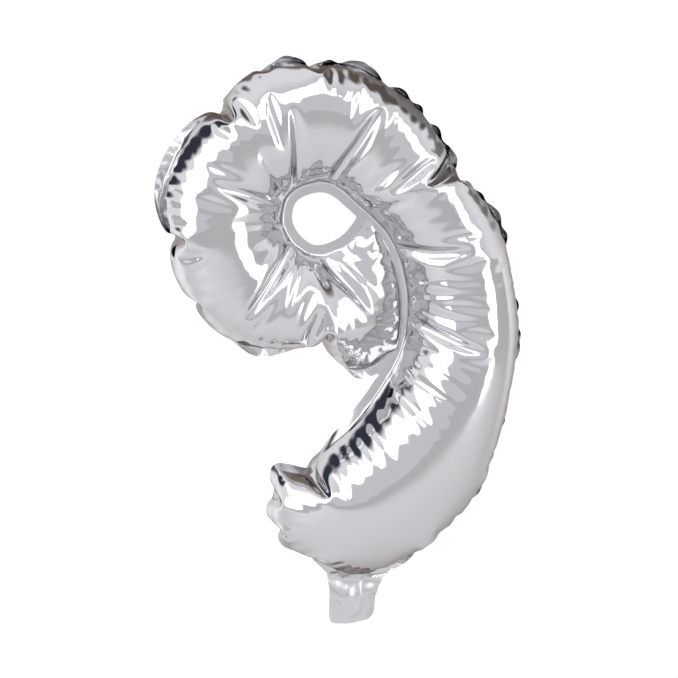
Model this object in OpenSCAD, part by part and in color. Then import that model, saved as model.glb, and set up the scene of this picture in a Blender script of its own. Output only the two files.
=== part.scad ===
// Foil number balloon, a curled tube in the shape of a nine.
// Two metallised film sheets are heat-sealed round their edges and along one
// weld, where the end of the curl meets the side of the stem. A flat filling
// tail hangs from the lowest point, with a self-closing film valve inside it.
// Origin: middle of the tail's root, in the plane of the seam. Front is -Y.

/* [Envelope] */
// Overall scale of the inflated outline
outline_k = 1; // [0.9:0.01:1.1]
// Inflated half thickness, as a share of the station values
fullness = 1; // [0.8:0.01:1.05]
// Width of the heat-sealed edge
seal_w = 6.5; // [4:0.5:9]
// Thickness of each foil sheet
foil_t = 0.05; // [0.04:0.01:0.1]
// Length over which each end of the tube rounds off, in stations
end_round = 0.8; // [0.5:0.05:1]

/* [Filling tail] */
// Width of the tail
tail_w = 36; // [24:1:44]
// Length of the tail below its root
tail_len = 26; // [18:1:40]
// Radius of the tail's lower corners
tail_corner_r = 5; // [2:0.5:8]
// Width of the tail's root where it joins the sealed edge
root_w = 44; // [36:1:56]
// Gap left at the fold line, on each side of it
fold_gap = 0.6; // [0.4:0.1:1]

/* [Valve] */
// Width of each valve film
valve_w = 18; // [12:1:24]
// Length of the valve films inside the envelope
valve_in_len = 46; // [25:1:60]
// Length of the valve films inside the tail
valve_out_len = 14; // [8:1:18]
// Thickness of each valve film
valve_t = 0.04; // [0.03:0.01:0.06]

/* [Mesh] */
// Rows from station to station
rows_per_station = 2; // [2:1:4]
// Facets across the tube, from seam to seam
facets_across = 12; // [8:2:16]

/* [Hidden] */
$fn = 32;

silver = "gainsboro";
silver_back = "silver";
clear_film = "whitesmoke";

// Stations along the tube, from the weld round the counter and down the stem:
// [inner seam x, z], [outer seam x, z], half thickness, bow of the row
stations = [
  [[   0, 262], [  18, 177], 31,  13],
  [[ -11, 246], [ -14, 175], 32,   4],
  [[ -28, 241], [ -60, 180], 33,   0],
  [[ -42, 249], [ -97, 206], 34,   0],
  [[ -49, 262], [-119, 242], 35,   0],
  [[ -48, 276], [-124, 284], 36,   0],
  [[ -39, 286], [-102, 329], 36,   0],
  [[ -26, 288], [ -60, 358], 36,   0],
  [[ -13, 284], [ -10, 362], 36,   0],
  [[   0, 274], [  38, 338], 36,   0],
  [[  12, 262], [  73, 293], 37,   0],
  [[  24, 246], [  98, 255], 38,   0],
  [[  33, 222], [ 108, 216], 38,   0],
  [[  34, 192], [ 111, 178], 38,   0],
  [[  26, 165], [ 108, 142], 39,   0],
  [[  12, 141], [  99, 106], 40,   0],
  [[  -6, 118], [  80,  64], 41,   0],
  [[ -24, 104], [  46,  24], 42,  -4],
  [[ -40,  94], [   6,   9], 40, -12],
  [[ -52,  83], [ -30,  16], 36, -15]
];
last = len(stations) - 1;

// Catmull-Rom spline through one column of the stations
function at(k, c) = stations[min(max(k, 0), last)][c];
function spline(t, c) =
  let (k = min(floor(t), last - 1), f = t - k,
       a = at(k - 1, c), b = at(k, c), d = at(k + 1, c), e = at(k + 2, c))
  0.5 * (2 * b + (d - a) * f + (2 * a - 5 * b + 4 * d - e) * f * f
         + (3 * b - a - 3 * d + e) * f * f * f);

// Least distance between the stations at the tube's ends
end_station_len = 22;

// Row positions: close together at the rounded ends, even between them
end_rows = 5;
mid_rows = round((last - 2 * end_round) * rows_per_station);
rows = concat(
  [for (i = [0 : end_rows - 1]) end_round * (1 - cos(90 * i / end_rows))],
  [for (i = [0 : mid_rows]) end_round + (last - 2 * end_round) * i / mid_rows],
  [for (i = [end_rows - 1 : -1 : 0]) last - end_round * (1 - cos(90 * i / end_rows))]);
row_count = len(rows);

// How far the tube has risen at a row, 0 at either end and 1 between them
function rise(t) =
  let (d = min(t, last - t, end_round) / end_round)
  sqrt(max(0, 1 - (1 - d) * (1 - d)));

// Point of the chamber's plan at row t and angle a, drawn in by inset
function plan(t, a, inset) =
  let (p = outline_k * spline(t, 0), q = outline_k * spline(t, 1),
       chord = norm(q - p), dir = (q - p) / chord,
       side = [-dir[1], dir[0]],
       s = (1 - cos(a)) / 2,
       bow = spline(t, 3) * 4 * s * (1 - s))
  p + dir * (inset + (chord - 2 * inset) * s) + side * bow;

function height(t, a, inset) =
  (fullness * outline_k * spline(t, 2) - inset / 2) * rise(t) * sin(a);

// One side of the inflated tube as a solid, from a floor to its curved surface.
// Its plan is drawn in by inset all round, the rows at both ends included.
module dome(inset, lift, floor_y) {
  cols = facets_across + 1;
  top = [for (t = rows) for (j = [0 : facets_across])
    let (drawn_in = t + (1 - 2 * t / last) * inset / end_station_len,
         a = 180 * j / facets_across, p = plan(drawn_in, a, inset))
    [p[0], -lift - height(t, a, inset), p[1]]];
  rim = concat(
    [for (j = [0 : facets_across]) j],
    [for (i = [1 : row_count - 1]) i * cols + facets_across],
    [for (j = [facets_across - 1 : -1 : 0]) (row_count - 1) * cols + j],
    [for (i = [row_count - 2 : -1 : 1]) i * cols]);
  base = [for (k = rim) [top[k][0], floor_y, top[k][2]]];
  n = len(top);
  m = len(rim);
  polyhedron(
    points = concat(top, base),
    faces = concat(
      [for (i = [0 : row_count - 2]) for (j = [0 : facets_across - 1]) for (h = [0, 1])
        let (k = i * cols + j)
        h == 0 ? [k, k + cols, k + 1] : [k + 1, k + cols, k + cols + 1]],
      [for (i = [0 : m - 1]) for (h = [0, 1])
        let (j = (i + 1) % m)
        h == 0 ? [rim[i], rim[j], n + i] : [rim[j], n + j, n + i]],
      [[for (i = [m - 1 : -1 : 0]) n + i]]),
    convexity = 8);
}

module chamber_plan() {
  polygon(concat(
    [for (j = [0 : facets_across]) plan(0, 180 * j / facets_across, 0)],
    [for (i = [1 : row_count - 1]) plan(rows[i], 180, 0)],
    [for (j = [facets_across - 1 : -1 : 0]) plan(last, 180 * j / facets_across, 0)],
    [for (i = [row_count - 2 : -1 : 1]) plan(rows[i], 0, 0)]));
}

// Lays a plan drawn in X and Z flat in the seam plane, thick towards -Y
module in_seam_plane(thick) {
  rotate([90, 0, 0]) linear_extrude(thick) children();
}

module root_plan() {
  polygon([[-tail_w / 2, fold_gap], [tail_w / 2, fold_gap],
           [root_w / 2, seal_w + 4], [-root_w / 2, seal_w + 4]]);
}

// Keeps a freeform shell as one mesh, at its own size
module one_mesh() { resize([0, 0, 0]) children(); }

// Front half of the envelope: sealed edge, weld, tail root and curved wall
module foil_half() {
  one_mesh() difference() {
    union() {
      in_seam_plane(foil_t) difference() {
        union() {
          offset(r = seal_w) chamber_plan();
          root_plan();
        }
        offset(delta = -0.5) chamber_plan();
        translate([-tail_w, fold_gap - 20]) square([2 * tail_w, 20]);
      }
      in_seam_plane(foil_t + valve_t) difference() {
        intersection() {
          root_plan();
          translate([-valve_w / 2 - 1, 0]) square([valve_w + 2, seal_w + 4]);
        }
        offset(delta = -0.5) chamber_plan();
      }
      dome(0, foil_t / 2, 0);
    }
    dome(foil_t, 0, 0.5);
    translate([-valve_w / 2, -valve_t, 0]) cube([valve_w, 2 * valve_t, valve_in_len + 1]);
  }
}

module tail_plan() {
  hull() {
    for (x = [-1, 1])
      translate([x * (tail_w / 2 - tail_corner_r), -tail_len + tail_corner_r])
        circle(tail_corner_r);
    translate([-tail_w / 2, -fold_gap - 1]) square([tail_w, 1]);
  }
}

// Front sheet of the tail, with a raised channel that holds the valve films
module tail_half() {
  difference() {
    union() {
      in_seam_plane(foil_t) tail_plan();
      translate([-valve_w / 2 - 1, -foil_t - valve_t, -valve_out_len - 1])
        cube([valve_w + 2, foil_t + valve_t, valve_out_len + 1 - fold_gap]);
    }
    translate([-valve_w / 2, -valve_t, -valve_out_len])
      cube([valve_w, 2 * valve_t, valve_out_len]);
  }
}

module valve_sheet(low, high) {
  translate([-valve_w / 2, -valve_t, low]) cube([valve_w, valve_t, high - low]);
}

module front_panel() { color(silver) foil_half(); }
module back_panel() { color(silver_back) mirror([0, 1, 0]) foil_half(); }
module tail_front() { color(silver) tail_half(); }
module tail_back() { color(silver_back) mirror([0, 1, 0]) tail_half(); }
module valve_front() { color(clear_film) valve_sheet(fold_gap, valve_in_len); }
module valve_back() { color(clear_film) mirror([0, 1, 0]) valve_sheet(fold_gap, valve_in_len); }
module valve_mouth_front() { color(clear_film) valve_sheet(-valve_out_len, -fold_gap); }
module valve_mouth_back() {
  color(clear_film) mirror([0, 1, 0]) valve_sheet(-valve_out_len, -fold_gap);
}

front_panel();
back_panel();
tail_front();
tail_back();
valve_front();
valve_back();
valve_mouth_front();
valve_mouth_back();
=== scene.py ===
"""Foil number balloon: two film sheets cut flat, sealed round their edges and filled.

The sheets are inflated here as a net of springs, from coarse to fine. Deep folds and pinches are
pressed in at chosen places first, and the filling shapes them and makes the buckles between them.
The small gathers along the seam and the shape of the tail are added afterwards. Lengths in the
pattern are in millimetres; everything in Blender is in metres.
"""
import math

import bpy
import numpy as np
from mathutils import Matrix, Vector
from mathutils.bvhtree import BVHTree
from mathutils.geometry import delaunay_2d_cdt
from mathutils.kdtree import KDTree


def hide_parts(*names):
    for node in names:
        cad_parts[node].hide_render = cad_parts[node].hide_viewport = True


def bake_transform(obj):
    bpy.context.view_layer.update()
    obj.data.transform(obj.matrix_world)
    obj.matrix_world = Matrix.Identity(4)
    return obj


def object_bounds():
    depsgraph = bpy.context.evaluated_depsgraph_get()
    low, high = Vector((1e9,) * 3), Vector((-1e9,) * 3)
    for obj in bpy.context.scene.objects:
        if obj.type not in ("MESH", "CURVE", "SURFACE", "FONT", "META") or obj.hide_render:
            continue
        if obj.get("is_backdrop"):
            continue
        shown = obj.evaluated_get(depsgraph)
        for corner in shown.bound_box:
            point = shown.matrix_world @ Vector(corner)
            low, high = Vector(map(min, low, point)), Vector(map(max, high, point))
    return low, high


MM = 0.001

# The flat pattern: (inner seam x, z), (outer seam x, z), bow of the row, from the weld at the
# bowl's end, round the counter and down the stem. It is larger than the filled balloon. A
# separate fit, not part of this script, gave these numbers by filling trial patterns until the
# seam came near the CAD's outline. Only the first two rows and the bows were given one by one.
PATTERN = [
    ((-19, 263), (-10, 171), 9), ((-37, 252), (-45, 155), 4), ((-57, 251), (-120, 187), 0),
    ((-69, 261), (-156, 225), 0), ((-73, 276), (-168, 273), 0), ((-68, 288), (-158, 322), 0),
    ((-59, 293), (-119, 367), 0), ((-45, 293), (-67, 391), 0), ((-35, 288), (-11, 383), 0),
    ((-25, 276), (38, 350), 0), ((-15, 262), (73, 301), 0), ((-6, 245), (96, 260), 0),
    ((-1, 221), (108, 219), 0), ((-1, 193), (115, 181), 0), ((-8, 166), (115, 143), 0),
    ((-20, 142), (111, 102), 0), ((-36, 117), (97, 53), 0), ((-49, 100), (58, 6), 0),
    ((-63, 81), (9, -16), -8), ((-79, 68), (-32, -10), -18),
]
SEAL = 6.5            # width of the heat-sealed edge
TAB_X = 5.0           # middle of the filling tail in the pattern
TAB_HALF = 18.0       # half its width
TAB_TOP = -30.0       # height where it starts to flare into the sealed edge
TAB_END = -56.0       # height of its lower edge
TAB_FLARE = 4.0       # how much wider each side is at the root
TAB_FLARE_LEN = 8.0   # height over which it flares
TAB_JOIN = -22.0      # height where the tail's outline ends, inside the sealed edge
ROOT_Z = -28.0        # height of the fold line at the tail's root
TAB_CORNER = 5.0      # radius of its lower corners
VALVE_HALF = 9.0      # half the width of the valve films
VALVE_TOP = 18.0      # height of their upper end in the pattern
VALVE_END = -44.0     # height of their lower end in the pattern
VALVE_STIFFNESS = 12  # how much stiffer the wall is where the valve films back it
CHANNEL_HALF = 6.0    # half the width of the unsealed channel between the valve's side seals
CHANNEL_RISE = 1.1    # how far each sheet stands off over the channel
SEAL_OFFSET = 0.06    # how far each sheet stands off the seam plane at the seal
VALVE_OFFSET = 0.02   # how far each valve film stands off it
TAIL_CURL = 5.0       # how far back the tail's right side curls

# Each stage: mesh spacing, solver steps, pressure, stiffness in compression, stiffness in bending
STAGES = [(6.0, 900, 0.0007, 0.04, 0.03), (3.4, 600, 0.0006, 0.3, 0.25),
          (2.35, 480, 0.0006, 0.45, 0.2)]
SEEDED_STAGE = 1      # the stage that starts with the folds pressed in, and the last with pinches
DAMPING = 0.99        # share of its speed that a vertex keeps at each step
MASS_SHARE = 0.62     # a vertex's mass, as a share of the stiffness of its links

# Where the deep folds cross the tube, counted in rows of PATTERN, on the front and on the back
FRONT_FOLDS = [1.3, 2.2, 3.1, 4.3, 5.4, 6.6, 7.6, 8.6, 9.7, 10.6, 11.5, 12.4, 13.3, 14.1, 14.9,
               15.7, 16.5, 17.3]
BACK_FOLDS = [0.9, 1.8, 2.7, 3.8, 5.0, 6.1, 7.2, 8.2, 9.1, 10.1, 11.0, 12.0, 12.9, 13.8, 14.6,
              15.4, 16.2, 17.0]
FOLD_DEPTH = 12.0     # how far a fold is pressed in
FOLD_WIDTH = 0.11     # its half width, in rows
PINCH_GAP = 15.5      # distance between the pinches that scallop the outer edge
PINCH_DEPTH = 5.0      # how far a pinch draws the edge in
PINCH_WIDTH = 4.5     # its half width along the edge
PINCH_REACH = 14.0    # how far it reaches into the sheet
PINCH_TIP = 1.5       # how far it tips the seal forward or back
PINCH_SHARE = (0.08, 0.68)  # the stretch of the seam that has pinches: the outer edge
PUCKER_GAP = 12.0     # distance between the small gathers along the seam
PUCKER_DEPTH = 0.6    # how far they stand up or down
PUCKER_REACH = 7.0    # distance from the seam where they are deepest


# ---------------------------------------------------------------- flat pattern

def catmull(points, t):
    """Catmull-Rom curve through points, at the positions t counted in points."""
    points = np.asarray(points, float)
    last = len(points) - 1
    k = np.clip(np.floor(t).astype(int), 0, last - 1)
    f = (t - k)[:, None]
    a, b, c, d = (points[np.clip(k + i, 0, last)] for i in (-1, 0, 1, 2))
    return 0.5 * (2 * b + (c - a) * f + (2 * a - 5 * b + 4 * c - d) * f**2
                  + (3 * b - a - 3 * c + d) * f**3)


def end_row(station):
    """The bowed row of points that closes one end of the tube."""
    p, q, bow = np.array(station[0], float), np.array(station[1], float), station[2]
    along = (q - p) / np.linalg.norm(q - p)
    s = np.linspace(0, 1, 40)[1:-1, None]
    return p + (q - p) * s + np.array([-along[1], along[0]]) * bow * 4 * s * (1 - s)


def seam_loop():
    """The closed seam line round the air chamber."""
    last = len(PATTERN) - 1
    t = np.linspace(0, last, last * 24 + 1)
    inner = catmull([s[0] for s in PATTERN], t)
    outer = catmull([s[1] for s in PATTERN], t)
    return np.vstack([inner[:1], end_row(PATTERN[0]), outer,
                      end_row(PATTERN[-1])[::-1], inner[:0:-1]])


def resample(loop, spacing):
    """Points at an even spacing round a closed loop."""
    closed = np.vstack([loop, loop[:1]])
    s = np.concatenate([[0], np.cumsum(np.linalg.norm(np.diff(closed, axis=0), axis=1))])
    count = int(round(s[-1] / spacing))
    u = np.arange(count) * s[-1] / count
    return np.column_stack([np.interp(u, s, closed[:, i]) for i in (0, 1)])


def distance_to(points, loop):
    """Distance from a loop's line, negative inside it."""
    a, b = loop, np.roll(loop, -1, axis=0)
    ab = b - a
    length2 = (ab**2).sum(1)
    slope = ab[:, 0] / np.where(ab[:, 1] == 0, 1e-9, ab[:, 1])
    out = np.empty(len(points))
    chunk = 4000
    for low in range(0, len(points), chunk):
        p = points[low:low + chunk]
        ap = p[:, None] - a[None]
        t = np.clip((ap * ab).sum(2) / length2, 0, 1)
        far = np.sqrt(((ap - t[..., None] * ab)**2).sum(2)).min(1)
        straddles = (a[:, 1] > p[:, 1:2]) != (b[:, 1] > p[:, 1:2])
        crosses = straddles & (p[:, :1] < a[:, 0] + (p[:, 1:2] - a[:, 1]) * slope)
        out[low:low + chunk] = np.where(crosses.sum(1) % 2 == 1, -far, far)
    return out


def tab_distance(p):
    """Distance outside the filling tail's outline, negative inside it."""
    flare = np.clip((p[:, 1] - TAB_TOP) / TAB_FLARE_LEN, 0, 1) * TAB_FLARE
    across = np.abs(p[:, 0] - TAB_X) - TAB_HALF - flare
    below = TAB_END - p[:, 1]
    corner = np.hypot(np.maximum(across + TAB_CORNER, 0), np.maximum(below + TAB_CORNER, 0))
    square = np.maximum(np.maximum(across, below), p[:, 1] - TAB_JOIN)
    rounded = (across > -TAB_CORNER) & (below > -TAB_CORNER)
    return np.where(rounded, corner - TAB_CORNER, square)


def outward(loop):
    """Unit normals of a loop that point out of it."""
    along = np.roll(loop, -1, 0) - np.roll(loop, 1, 0)
    nxt = np.roll(loop, -1, 0)
    turn = np.sum(loop[:, 0] * nxt[:, 1] - nxt[:, 0] * loop[:, 1])
    normal = np.column_stack([along[:, 1], -along[:, 0]]) * math.copysign(1, turn)
    return normal / np.linalg.norm(along, axis=1)[:, None]


def thinned(points, gap):
    """The points, without any that lies nearer than gap to one before it."""
    keep, cells = [], {}
    for i, (x, y) in enumerate(points):
        cx, cy = int(x // gap), int(y // gap)
        around = ((cx + dx, cy + dy) for dx in (-1, 0, 1) for dy in (-1, 0, 1))
        if all(math.dist(points[j], (x, y)) >= gap for c in around for j in cells.get(c, ())):
            keep.append(i)
            cells.setdefault((cx, cy), []).append(i)
    return points[keep]


def sealed_rim(fine, h):
    """Points along the cut edge: a seal's width outside the seam, and round the tail."""
    source = resample(fine, h / 3)
    normal = outward(source)
    rim = [source + normal * SEAL]
    for i in range(len(source)):
        if np.dot(normal[i - 1], normal[i]) < 0.9:
            for f in np.linspace(0, 1, 8):
                n = normal[i - 1] * (1 - f) + normal[i] * f
                rim.append((source[i] + n / np.linalg.norm(n) * SEAL)[None])
    rim = np.vstack(rim)
    rim = rim[np.abs(distance_to(rim, resample(fine, 1.0)) - SEAL) < 0.08]
    rim = rim[tab_distance(rim) > 0.3]
    z = np.arange(TAB_END + TAB_CORNER, TAB_TOP + 6, h / 2)
    flare = np.clip((z - TAB_TOP) / TAB_FLARE_LEN, 0, 1) * TAB_FLARE
    x = np.arange(TAB_CORNER - TAB_HALF, TAB_HALF - TAB_CORNER + 0.01, h / 2)
    turn = np.linspace(0, math.pi / 2, 6)
    corner = TAB_HALF - TAB_CORNER + TAB_CORNER * np.cos(turn)
    low = TAB_END + TAB_CORNER - TAB_CORNER * np.sin(turn)
    sides = [np.column_stack([TAB_X + sign * (TAB_HALF + flare), z]) for sign in (-1, 1)]
    corners = [np.column_stack([TAB_X + sign * corner, low]) for sign in (-1, 1)]
    tab = np.vstack(sides + corners + [np.column_stack([TAB_X + x, np.full(len(x), TAB_END)])])
    tab = tab[distance_to(tab, resample(fine, 1.0)) > SEAL - 0.3]
    return thinned(np.vstack([tab, rim]), h * 0.8)


def flat_mesh(h):
    """Triangles of one sheet at spacing h: points, triangles, and which of them hold air."""
    fine = seam_loop()
    seam = resample(fine, h)
    rim = sealed_rim(fine, h)
    low, high = fine.min(0) - 2 * SEAL, fine.max(0) + 2 * SEAL
    low[1] = TAB_END - 5
    rows = np.arange(low[1], high[1], h * math.sqrt(3) / 2)
    gx, gz = np.meshgrid(np.arange(low[0], high[0], h), rows)
    gx = gx + (np.arange(len(rows)) % 2)[:, None] * h / 2
    lattice = np.column_stack([gx.ravel(), gz.ravel()])

    def outside(p):
        d = distance_to(p, seam)
        return d, np.minimum(d - SEAL, tab_distance(p))

    d, edge = outside(lattice)
    lattice = lattice[(edge < -0.45 * h) & (np.abs(d) > 0.5 * h)]
    points = [Vector(p) for p in np.vstack([seam, rim, lattice])]
    seam_edges = [(i, (i + 1) % len(seam)) for i in range(len(seam))]
    found = delaunay_2d_cdt(points, seam_edges, [], 0, 1e-4)
    verts = np.array([v[:] for v in found[0]])
    tris = np.array([f[:] for f in found[2] if len(f) == 3])
    a, b, c = (verts[tris[:, i]] for i in range(3))
    area = 0.5 * cross2(b - a, c - a)
    d, edge = outside((a + b + c) / 3)
    ok = (edge < 0) & (np.abs(area) > 0.02 * h * h)
    tris, d, area = tris[ok], d[ok], area[ok]
    tris[area < 0] = tris[area < 0][:, ::-1]
    used, tris = np.unique(tris, return_inverse=True)
    return verts[used], tris.reshape(-1, 3), d < 0


def cross2(u, v):
    return u[:, 0] * v[:, 1] - u[:, 1] * v[:, 0]


# ---------------------------------------------------------------- inflation

class Film:
    """Both sheets as one net. Where they are sealed together they share their vertices."""

    def __init__(self, h):
        self.h = h
        self.flat, self.tris, self.open = flat_mesh(h)
        self.n = len(self.flat)
        self.shared = np.zeros(self.n, bool)
        self.shared[self.tris[~self.open].ravel()] = True
        free = np.where(~self.shared)[0]
        self.back = np.arange(self.n)
        self.back[free] = self.n + np.arange(len(free))
        self.rest = np.vstack([self.flat, self.flat[free]])
        self.count = len(self.rest)
        front = self.tris[self.open]
        self.skin = np.vstack([front, self.back[front][:, ::-1]])
        self.sealed = np.zeros(self.count, bool)
        self.sealed[:self.n] = self.shared
        self.link(np.vstack([self.skin, self.tris[~self.open]]))

    def link(self, tris):
        """Edges, and the pairs of vertices that face each other across an edge."""
        e = np.sort(np.vstack([tris[:, [0, 1]], tris[:, [1, 2]], tris[:, [2, 0]]]), axis=1)
        opposite = np.concatenate([tris[:, 2], tris[:, 0], tris[:, 1]])
        key = e[:, 0].astype(np.int64) * self.count + e[:, 1]
        order = np.argsort(key, kind="stable")
        key, e, opposite = key[order], e[order], opposite[order]
        starts = np.where(np.concatenate([[True], key[1:] != key[:-1]]))[0]
        self.edges = e[starts]
        twice = starts[np.diff(np.append(starts, len(key))) == 2]
        across = np.column_stack([opposite[twice], opposite[twice + 1]])
        behind = across >= self.n
        free_front = ~behind & ~self.sealed[across]
        through_seam = behind.any(1) & free_front.any(1)
        flat_gap = self.lengths(across)
        self.across = across[~through_seam & (flat_gap > 0.8 * self.h)]

    def lengths(self, pairs):
        return np.linalg.norm(self.rest[pairs[:, 0]] - self.rest[pairs[:, 1]], axis=1)

    def start(self):
        """A low pillow with a little seeded unevenness."""
        X = np.zeros((self.count, 3))
        X[:, 0], X[:, 2] = self.rest.T
        depth = np.maximum(-distance_to(self.rest, resample(seam_loop(), 2.0)), 0)
        side = np.where(np.arange(self.count) < self.n, -1.0, 1.0)
        X[:, 1] = side * np.sqrt(depth) * 1.2
        X[:, 1] += np.random.default_rng(7).normal(0, 0.15, self.count)
        return X


def gather(index, count):
    """Sorting that lets add.reduceat sum rows by vertex. Every vertex has at least one row."""
    order = np.argsort(index, kind="stable")
    return order, np.searchsorted(index[order], np.arange(count))


def folded(film, X):
    """Presses the deep folds into the walls, from the inner seam towards the crown."""
    rng = np.random.default_rng(11)
    last = len(PATTERN) - 1
    t = np.linspace(0, last, last * 30 + 1)
    inner = catmull([s[0] for s in PATTERN], t)
    outer = catmull([s[1] for s in PATTERN], t)
    tree = KDTree(len(t) * 21)
    for j in range(21):
        for i, point in enumerate(inner + (outer - inner) * j / 20):
            tree.insert((*point, 0), i * 21 + j)
    tree.balance()
    found = np.array([tree.find((x, z, 0))[1] for x, z in film.rest])
    row, across = t[found // 21], (found % 21) / 20
    X = X.copy()
    front = np.arange(film.count) < film.n
    for folds, side in ((FRONT_FOLDS, front), (BACK_FOLDS, ~front)):
        for fold in folds:
            at = fold + rng.normal(0, 0.06)
            reach = rng.uniform(0.36, 0.54)
            depth = FOLD_DEPTH * rng.uniform(0.7, 1.2)
            shape = np.exp(-((row - at) / FOLD_WIDTH)**2) * np.sin(np.pi * np.minimum(across / reach, 1))
            X[side, 1] -= np.sign(X[side, 1]) * (depth * shape)[side]
    return X


def nearest_on_seam(film, seam):
    """For each vertex, the nearest point of the seam and its distance in the pattern."""
    line = KDTree(len(seam))
    for i, point in enumerate(seam):
        line.insert((*point, 0), i)
    line.balance()
    near = [line.find((x, z, 0)) for x, z in film.rest]
    return np.array([n[1] for n in near]), np.array([n[2] for n in near])


def pinched(film, X):
    """Draws the outer edge in at even gaps and tips the seal there, which starts the scallops."""
    rng = np.random.default_rng(5)
    seam = resample(seam_loop(), 1.0)
    normal = outward(seam)
    index, gap = nearest_on_seam(film, seam)
    X = X.copy()
    start, end = (len(seam) * share for share in PINCH_SHARE)
    place = start
    while place < end:
        at_pinch = np.exp(-((index - place) / PINCH_WIDTH)**2)
        draw = PINCH_DEPTH * rng.uniform(0.8, 1.2) * at_pinch * np.exp(-(gap / PINCH_REACH)**2)
        X[:, 0] -= normal[index, 0] * draw
        X[:, 2] -= normal[index, 1] * draw
        X[:, 1] += rng.choice([-1, 1]) * PINCH_TIP * at_pinch * film.sealed
        place += PINCH_GAP * rng.uniform(0.85, 1.15)
    return X


def inflate(film, X, pressure, steps, slack, bend):
    """Steps the net towards balance: stiff in tension, weaker in compression and in bending."""
    sheets = np.where(film.sealed[film.edges].all(1), 2.0, 1.0)
    pairs = np.vstack([film.edges, film.across])
    rest = film.lengths(pairs).astype(np.float32)
    backed = (np.abs(film.rest[:, 0] - TAB_X) < VALVE_HALF) & (film.rest[:, 1] < VALVE_TOP)
    bending = np.where(backed[film.across].all(1), VALVE_STIFFNESS * bend, bend)
    pull = np.concatenate([sheets, bending]).astype(np.float32)
    push = pull.copy()
    push[:len(film.edges)] *= slack
    a, b = pairs.T
    order, starts = gather(np.concatenate([a, b]), film.count)
    sign = np.where(order < len(a), 1.0, -1.0).astype(np.float32)[:, None]
    order = order % len(a)
    skin_order, skin_starts = gather(film.skin.ravel(), film.count)
    skin_starts = np.minimum(skin_starts, len(skin_order) - 1)
    in_skin = np.bincount(film.skin.ravel(), minlength=film.count) > 0
    mass = np.bincount(a, pull, film.count) + np.bincount(b, pull, film.count)
    ease = (1 / (MASS_SHARE * mass)).astype(np.float32)[:, None]
    X = X.astype(np.float32)
    V = np.zeros_like(X)
    for step in range(steps):
        D = X[b] - X[a]
        length = np.sqrt(np.einsum("ij,ij->i", D, D)) + 1e-9
        stretch = length - rest
        D *= (np.where(stretch > 0, pull, push) * stretch / length)[:, None]
        force = np.add.reduceat(D[order] * sign, starts, axis=0)
        T = X[film.skin]
        area = np.cross(T[:, 1] - T[:, 0], T[:, 2] - T[:, 0])
        push_out = np.add.reduceat(area[skin_order // 3], skin_starts, axis=0)
        push_out[~in_skin] = 0
        force += push_out * (pressure * min(1, 4 * step / steps + 0.2) / 6)
        V = (V + force * ease) * DAMPING
        X = X + V
    return X


def weights_at(film, points):
    """For each flat point, the triangle that holds it and the weights of its corners."""
    tree = BVHTree.FromPolygons([(x, z, 0) for x, z in film.flat], film.tris.tolist())
    hit = np.array([tree.find_nearest((x, z, 0))[2] for x, z in points])
    tri = film.tris[hit]
    a, b, c = (film.flat[tri[:, i]] for i in range(3))
    whole = cross2(b - a, c - a)
    wb = cross2(points - a, c - a) / whole
    wc = cross2(b - a, points - a) / whole
    return tri, np.column_stack([1 - wb - wc, wb, wc])


def carried(coarse, X, fine):
    """The coarse net's shape, carried over to the fine net."""
    tri, w = weights_at(coarse, fine.flat)
    front = (X[tri] * w[..., None]).sum(1)
    back = (X[coarse.back[tri]] * w[..., None]).sum(1)
    first = np.where(fine.shared[:, None], (front + back) / 2, front)
    return np.vstack([first, back[~fine.shared]])


def filled(stages):
    """The film at the finest stage, and its filled shape."""
    film, X = None, None
    for i, (h, steps, pressure, slack, bend) in enumerate(stages):
        finer = Film(h)
        X = finer.start() if film is None else carried(film, X, finer)
        film = finer
        if i <= SEEDED_STAGE:
            X = pinched(film, X)
        if i == SEEDED_STAGE:
            X = folded(film, X)
        X = inflate(film, X, pressure, steps, slack, bend)
    return film, X


def levelled(film, X):
    """Turns the seam into the plane y = 0 and puts the tail's root at the origin."""
    seam = X[:film.n][film.shared]
    middle = seam.mean(0)
    _, _, axes = np.linalg.svd(seam - middle, full_matrices=False)
    normal = axes[2] * math.copysign(1, axes[2][1])
    right = np.array([1.0, 0, 0]) - normal * normal[0]
    right /= np.linalg.norm(right)
    up = np.cross(right, normal)
    turned = (X - middle) @ np.column_stack([right, normal, up])
    root = np.linalg.norm(film.flat - (TAB_X, ROOT_Z), axis=1).argmin()
    shift = turned[root].copy()
    shift[1] = 0
    return turned - shift


def puckered(film, X):
    """Adds the small gathers that run in from the seam, too fine for the net to buckle into."""
    index, gap = nearest_on_seam(film, resample(seam_loop(), 1.0))
    phase = index * 2 * math.pi / PUCKER_GAP + 1.6 * np.sin(index * 0.031) + 1.1 * np.sin(index * 0.083)
    fade = gap / PUCKER_REACH * np.exp(1 - gap / PUCKER_REACH) * ~film.sealed
    side = np.where(np.arange(film.count) < film.n, -1.0, 1.0)
    X = X.copy()
    X[:, 1] += side * PUCKER_DEPTH * np.sin(phase + side) * fade
    return X


def smoothstep(value):
    value = np.clip(value, 0, 1)
    return value * value * (3 - 2 * value)


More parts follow.
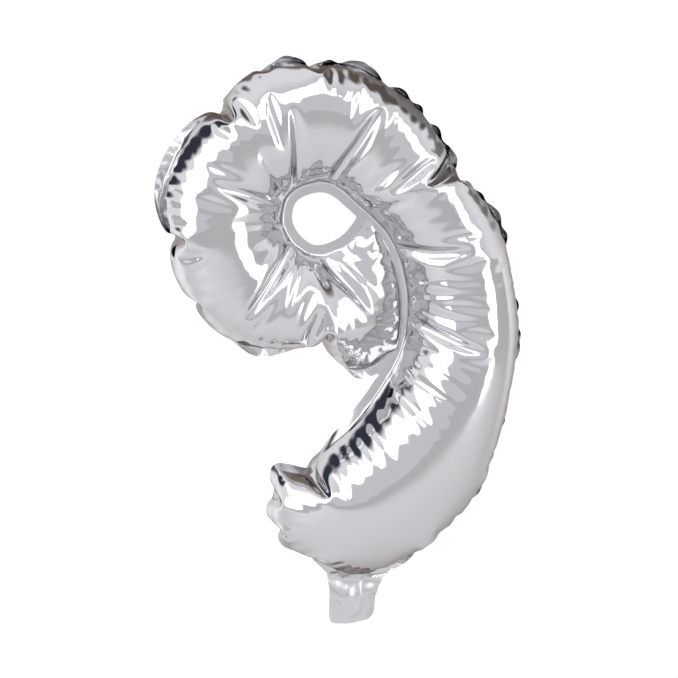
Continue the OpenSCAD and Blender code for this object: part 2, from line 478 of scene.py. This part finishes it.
def shaped_tail(film, X):
    """Hangs the tail flat below its root: its right side curls back, with flutes, a crumple at the
    left and a dimple near the root at the right."""
    x = film.rest[:, 0] - TAB_X
    z = film.rest[:, 1] - ROOT_Z
    hold = smoothstep((5 - z) / 13) * smoothstep((TAB_HALF + 12 - np.abs(x)) / 6)
    curl = TAIL_CURL * smoothstep((x - 8) / 11) * smoothstep(-z / 14)
    ripple = 1.1 * np.sin(x * 0.23 + z * 0.07 + 1) + 0.3 * np.sin(x * 0.47 - z * 0.25)
    ripple += 0.9 * np.sin(x * 0.9 + z * 0.8) * np.exp(-((x + 12)**2 + (z + 13)**2) / 40)
    ripple -= 1.4 * np.exp(-((x - 13)**2 + (z + 5)**2) / 14)
    tail = np.column_stack([x - 0.35 * curl, ripple + curl, z])
    return X + (tail - X) * hold[:, None]


# ---------------------------------------------------------------- meshes

def loop_subdivided(verts, tris):
    """One round of Loop subdivision of an open triangle mesh."""
    n = len(verts)
    e = np.vstack([tris[:, [0, 1]], tris[:, [1, 2]], tris[:, [2, 0]]])
    opposite = np.concatenate([tris[:, 2], tris[:, 0], tris[:, 1]])
    e = np.sort(e, axis=1)
    pairs, index, count = np.unique(e, axis=0, return_inverse=True, return_counts=True)
    index = index.ravel()
    ends = verts[pairs[:, 0]] + verts[pairs[:, 1]]
    wings = np.zeros_like(ends)
    np.add.at(wings, index, verts[opposite])
    inside = (count == 2)[:, None]
    middle = np.where(inside, ends * 3 / 8 + wings / 8, ends / 2)
    ring = np.zeros_like(verts)
    valence = np.zeros(n)
    rim_ring = np.zeros_like(verts)
    on_rim = np.zeros(n, bool)
    for i, j in ((0, 1), (1, 0)):
        np.add.at(ring, pairs[:, i], verts[pairs[:, j]])
        np.add.at(valence, pairs[:, i], 1)
        rim = pairs[count == 1]
        np.add.at(rim_ring, rim[:, i], verts[rim[:, j]])
        on_rim[rim[:, i]] = True
    beta = np.where(valence > 3, 3 / (8 * valence), 3 / 16)[:, None]
    smooth = verts * (1 - valence[:, None] * beta) + ring * beta
    rim_smooth = verts * 0.75 + rim_ring / 8
    moved = np.where(on_rim[:, None], rim_smooth, smooth)
    m = (n + index).reshape(3, -1).T
    a, b, c = tris.T
    ab, bc, ca = m.T
    finer = np.vstack([np.column_stack(t) for t in
                       ((a, ab, ca), (ab, b, bc), (ca, bc, c), (ab, bc, ca))])
    return np.vstack([moved, middle]), finer


def new_mesh(name, verts, faces, material, seal=None):
    mesh = bpy.data.meshes.new(name)
    mesh.from_pydata((verts * MM).tolist(), [], faces.tolist())
    mesh.polygons.foreach_set("use_smooth", [True] * len(mesh.polygons))
    if seal is not None:
        layer = mesh.attributes.new("seal", "FLOAT", "POINT")
        layer.data.foreach_set("value", seal.astype(np.float32))
    mesh.materials.append(material)
    obj = bpy.data.objects.new(name, mesh)
    bpy.context.scene.collection.objects.link(obj)
    return obj


def sheet_mesh(film, X, name, which, material):
    """One sheet with its seal, moved half a film's thickness off the seam plane."""
    corners = film.tris if which < 0 else film.back[film.tris][:, ::-1]
    used, faces = np.unique(corners, return_inverse=True)
    faces = faces.reshape(-1, 3)
    flat = film.rest[used]
    d = distance_to(flat, resample(seam_loop(), 2.0))
    packed = np.column_stack([X[used], flat, d])
    packed, faces = loop_subdivided(packed, faces)
    seal = np.clip(packed[:, 5] / 1.5 + 0.5, 0, 1)
    verts = packed[:, :3].copy()
    verts[:, 1] += which * SEAL_OFFSET * seal
    along = packed[:, 4] - ROOT_Z
    channel = np.sqrt(np.clip(1 - ((packed[:, 3] - TAB_X) / CHANNEL_HALF)**2, 0, 1))
    channel *= smoothstep((along + 24) / 4) * smoothstep((12 - along) / 6)
    verts[:, 1] += which * CHANNEL_RISE * channel
    obj = new_mesh(name, verts, faces, material, seal)
    uv = obj.data.uv_layers.new(name="pattern")
    corner_index = np.empty(len(obj.data.loops), np.int32)
    obj.data.loops.foreach_get("vertex_index", corner_index)
    uv.data.foreach_set("uv", (packed[corner_index, 3:5] * MM).astype(np.float32).ravel())
    return obj


def valve_mesh(film, X, name, which, material):
    """A strip of valve film that lies between the sheets, from the envelope into the tail."""
    xs = np.linspace(-VALVE_HALF, VALVE_HALF, 13) + TAB_X
    zs = np.arange(VALVE_END, VALVE_TOP, 1.5)
    gx, gz = np.meshgrid(xs, zs)
    flat = np.column_stack([gx.ravel(), gz.ravel()])
    tri, w = weights_at(film, flat)
    front = (X[tri] * w[..., None]).sum(1)
    back = (X[film.back[tri]] * w[..., None]).sum(1)
    verts = (front + back) / 2
    verts[:, 1] += which * VALVE_OFFSET
    k = np.arange(len(zs) - 1)[:, None] * len(xs) + np.arange(len(xs) - 1)
    k = k.ravel()
    faces = np.column_stack([k, k + 1, k + len(xs) + 1, k + len(xs)])
    return new_mesh(name, verts, faces, material)


# ---------------------------------------------------------------- materials

def material(name):
    mat = bpy.data.materials.new(name)
    mat.use_nodes = True
    return mat, mat.node_tree.nodes, mat.node_tree.links, mat.node_tree.nodes["Principled BSDF"]


def foil_material():
    mat, nodes, links, shader = material("silver_foil")
    shader.inputs["Metallic"].default_value = 1.0
    shader.inputs["Base Color"].default_value = (0.72, 0.72, 0.745, 1)
    shader.inputs["Specular Tint"].default_value = (0.38, 0.34, 0.32, 1)
    uv = nodes.new("ShaderNodeUVMap")
    uv.uv_map = "pattern"
    seal = nodes.new("ShaderNodeAttribute")
    seal.attribute_name = "seal"

    def noise(scale, detail, stretch):
        place = nodes.new("ShaderNodeMapping")
        place.inputs["Scale"].default_value = stretch
        texture = nodes.new("ShaderNodeTexNoise")
        texture.inputs["Scale"].default_value = scale
        texture.inputs["Detail"].default_value = detail
        links.new(uv.outputs["UV"], place.inputs["Vector"])
        links.new(place.outputs["Vector"], texture.inputs["Vector"])
        return texture

    cockle = noise(40.0, 3.0, (1, 0.35, 1))
    knurl = nodes.new("ShaderNodeTexVoronoi")
    knurl.inputs["Scale"].default_value = 900.0
    links.new(uv.outputs["UV"], knurl.inputs["Vector"])
    rough = nodes.new("ShaderNodeMapRange")
    rough.inputs["To Min"].default_value = 0.07
    rough.inputs["To Max"].default_value = 0.24
    links.new(seal.outputs["Fac"], rough.inputs["Value"])
    links.new(rough.outputs["Result"], shader.inputs["Roughness"])
    strength = nodes.new("ShaderNodeMapRange")
    strength.inputs["To Min"].default_value = 0.0
    strength.inputs["To Max"].default_value = 0.35
    links.new(seal.outputs["Fac"], strength.inputs["Value"])
    press = nodes.new("ShaderNodeBump")
    press.inputs["Distance"].default_value = 0.00008
    links.new(strength.outputs["Result"], press.inputs["Strength"])
    links.new(knurl.outputs["Distance"], press.inputs["Height"])
    ripple = nodes.new("ShaderNodeBump")
    ripple.inputs["Strength"].default_value = 0.4
    ripple.inputs["Distance"].default_value = 0.0011
    links.new(cockle.outputs["Fac"], ripple.inputs["Height"])
    links.new(press.outputs["Normal"], ripple.inputs["Normal"])
    streaks = noise(150.0, 2.0, (1, 0.12, 1))
    streak = nodes.new("ShaderNodeBump")
    streak.inputs["Strength"].default_value = 0.3
    streak.inputs["Distance"].default_value = 0.0002
    links.new(streaks.outputs["Fac"], streak.inputs["Height"])
    links.new(ripple.outputs["Normal"], streak.inputs["Normal"])
    links.new(streak.outputs["Normal"], shader.inputs["Normal"])
    return mat


def film_material():
    mat, nodes, links, shader = material("valve_film")
    shader.inputs["Base Color"].default_value = (0.86, 0.87, 0.88, 1)
    shader.inputs["Roughness"].default_value = 0.25
    shader.inputs["Alpha"].default_value = 0.6
    haze = nodes.new("ShaderNodeTexNoise")
    haze.inputs["Scale"].default_value = 220.0
    bump = nodes.new("ShaderNodeBump")
    bump.inputs["Strength"].default_value = 0.2
    bump.inputs["Distance"].default_value = 0.0002
    links.new(haze.outputs["Fac"], bump.inputs["Height"])
    links.new(bump.outputs["Normal"], shader.inputs["Normal"])
    return mat


def glowing_paper_material():
    """Pale paper with a painted glow: it glows white where it lies behind the balloon."""
    mat, nodes, links, shader = material("backdrop_paper_painted_glow")
    shader.inputs["Base Color"].default_value = (0.93, 0.93, 0.93, 1)
    shader.inputs["Roughness"].default_value = 0.9
    place = nodes.new("ShaderNodeTexCoord")
    axes = nodes.new("ShaderNodeSeparateXYZ")
    # painted light: the paper's white emission rises with its Y, from none at y = 0 to half strength
    # 0.42 m further back
    painted_glow = nodes.new("ShaderNodeMapRange")
    painted_glow.interpolation_type = "SMOOTHSTEP"
    painted_glow.inputs["From Min"].default_value = 0.0
    painted_glow.inputs["From Max"].default_value = 0.42
    painted_glow.inputs["To Max"].default_value = 0.5
    links.new(place.outputs["Object"], axes.inputs["Vector"])
    links.new(axes.outputs["Y"], painted_glow.inputs["Value"])
    links.new(painted_glow.outputs["Result"], shader.inputs["Emission Strength"])
    return mat


# ---------------------------------------------------------------- stage

# Dark openings of the tent: direction, cosines where each is full and where it ends, colour
TENT_PATCHES = [
    ((0.55, 0.60, 0.55), 0.94, 0.84, (0.32, 0.27, 0.235, 1)),
    ((0.75, 0.10, 0.75), 0.97, 0.90, (0.13, 0.105, 0.09, 1)),
    ((0.10, 0.72, 0.65), 0.93, 0.86, (0.22, 0.185, 0.165, 1)),
    ((0.80, 0.40, 0.42), 0.97, 0.92, (0.26, 0.25, 0.26, 1)),
    ((-0.80, 0.25, 0.50), 0.96, 0.89, (0.04, 0.045, 0.065, 1)),
]


def card(name, direction, distance, size, energy):
    """A rectangular soft light that faces the balloon's middle."""
    lamp = bpy.data.lights.new(name, "AREA")
    lamp.shape = "RECTANGLE"
    lamp.size, lamp.size_y = size
    lamp.energy = energy
    obj = bpy.data.objects.new(name, lamp)
    bpy.context.scene.collection.objects.link(obj)
    aim = Vector(direction).normalized()
    obj.location = CENTRE + aim * distance
    obj.rotation_euler = aim.to_track_quat("Z", "Y").to_euler()


def studio():
    """A pale tent: white all round, pale grey in front, with dark openings high at the back and left."""
    world = bpy.data.worlds.new("tent")
    world.use_nodes = True
    bpy.context.scene.world = world
    nodes, links = world.node_tree.nodes, world.node_tree.links
    coord = nodes.new("ShaderNodeTexCoord")

    def toward(direction, start, end):
        """1 close to a direction, falling to 0: start and end are cosines."""
        dot = nodes.new("ShaderNodeVectorMath")
        dot.operation = "DOT_PRODUCT"
        dot.inputs[1].default_value = Vector(direction).normalized()
        links.new(coord.outputs["Generated"], dot.inputs[0])
        ramp = nodes.new("ShaderNodeMapRange")
        ramp.interpolation_type = "SMOOTHSTEP"
        ramp.inputs["From Min"].default_value = end
        ramp.inputs["From Max"].default_value = start
        links.new(dot.outputs["Value"], ramp.inputs["Value"])
        return ramp.outputs["Result"]

    def over(under, color, mask):
        mix = nodes.new("ShaderNodeMix")
        mix.data_type = "RGBA"
        if isinstance(under, tuple):
            mix.inputs["A"].default_value = under
        else:
            links.new(under, mix.inputs["A"])
        mix.inputs["B"].default_value = color
        links.new(mask, mix.inputs["Factor"])
        return mix.outputs["Result"]

    tone = over((0.95, 0.95, 0.95, 1), (0.72, 0.72, 0.74, 1), toward((0.1, -1, 0.1), 0.75, 0.25))
    for direction, start, end, color in TENT_PATCHES:
        tone = over(tone, color, toward(direction, start, end))
    background = nodes["Background"]
    links.new(tone, background.inputs["Color"])
    background.inputs["Strength"].default_value = 1.0


def floor(low):
    bpy.ops.mesh.primitive_grid_add(x_subdivisions=4, y_subdivisions=4, size=400, location=(0, 0, low))
    obj = bpy.context.object
    obj.name = "floor"
    obj.data.materials.append(glowing_paper_material())
    obj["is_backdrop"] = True


def camera(azimuth, elevation, distance, target, lens):
    data = bpy.data.cameras.new("camera")
    data.lens = lens
    data.clip_start = 0.05
    obj = bpy.data.objects.new("camera", data)
    bpy.context.scene.collection.objects.link(obj)
    a, e = math.radians(azimuth), math.radians(elevation)
    back = Vector((math.sin(a) * math.cos(e), -math.cos(a) * math.cos(e), math.sin(e)))
    obj.location = target + back * distance
    obj.rotation_euler = back.to_track_quat("Z", "Y").to_euler()
    bpy.context.scene.camera = obj


# ---------------------------------------------------------------- the balloon

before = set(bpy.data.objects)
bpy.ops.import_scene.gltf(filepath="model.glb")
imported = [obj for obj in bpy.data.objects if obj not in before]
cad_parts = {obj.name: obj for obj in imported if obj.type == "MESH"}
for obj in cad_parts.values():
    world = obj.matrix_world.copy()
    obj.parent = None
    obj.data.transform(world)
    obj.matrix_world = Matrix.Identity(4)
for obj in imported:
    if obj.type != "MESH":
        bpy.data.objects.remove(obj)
cad_box = [list(corner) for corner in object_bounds()]
low, high = Vector(cad_box[0]), Vector(cad_box[1])
CENTRE = (low + high) / 2

film, shape = filled(STAGES)
shape = shaped_tail(film, puckered(film, levelled(film, shape)))

foil = foil_material()
clear = film_material()
for name, which, nodes in (("foil_front", -1, ("front_panel", "tail_front")),
                           ("foil_back", 1, ("back_panel", "tail_back"))):
    sheet = sheet_mesh(film, shape, name, which, foil)
    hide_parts(*nodes)
    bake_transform(sheet)
for name, which, nodes in (("valve_film_front", -1, ("valve_front", "valve_mouth_front")),
                           ("valve_film_back", 1, ("valve_back", "valve_mouth_back"))):
    strip = valve_mesh(film, shape, name, which, clear)
    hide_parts(*nodes)
    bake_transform(strip)

bpy.context.scene.view_settings.view_transform = "Standard"
studio()
floor(low.z - 0.25)
card("left_box", (-1, -0.8, 0.5), 1.4, (0.9, 1.4), 5)
card("right_box", (1, -0.9, 0.2), 1.5, (0.5, 1.4), 3)
card("top_box", (0.1, -0.75, 0.75), 1.5, (1.2, 0.6), 3)
camera(azimuth=-15, elevation=16, distance=0.872, target=CENTRE + Vector((-0.004, 0, 0.009)), lens=70)
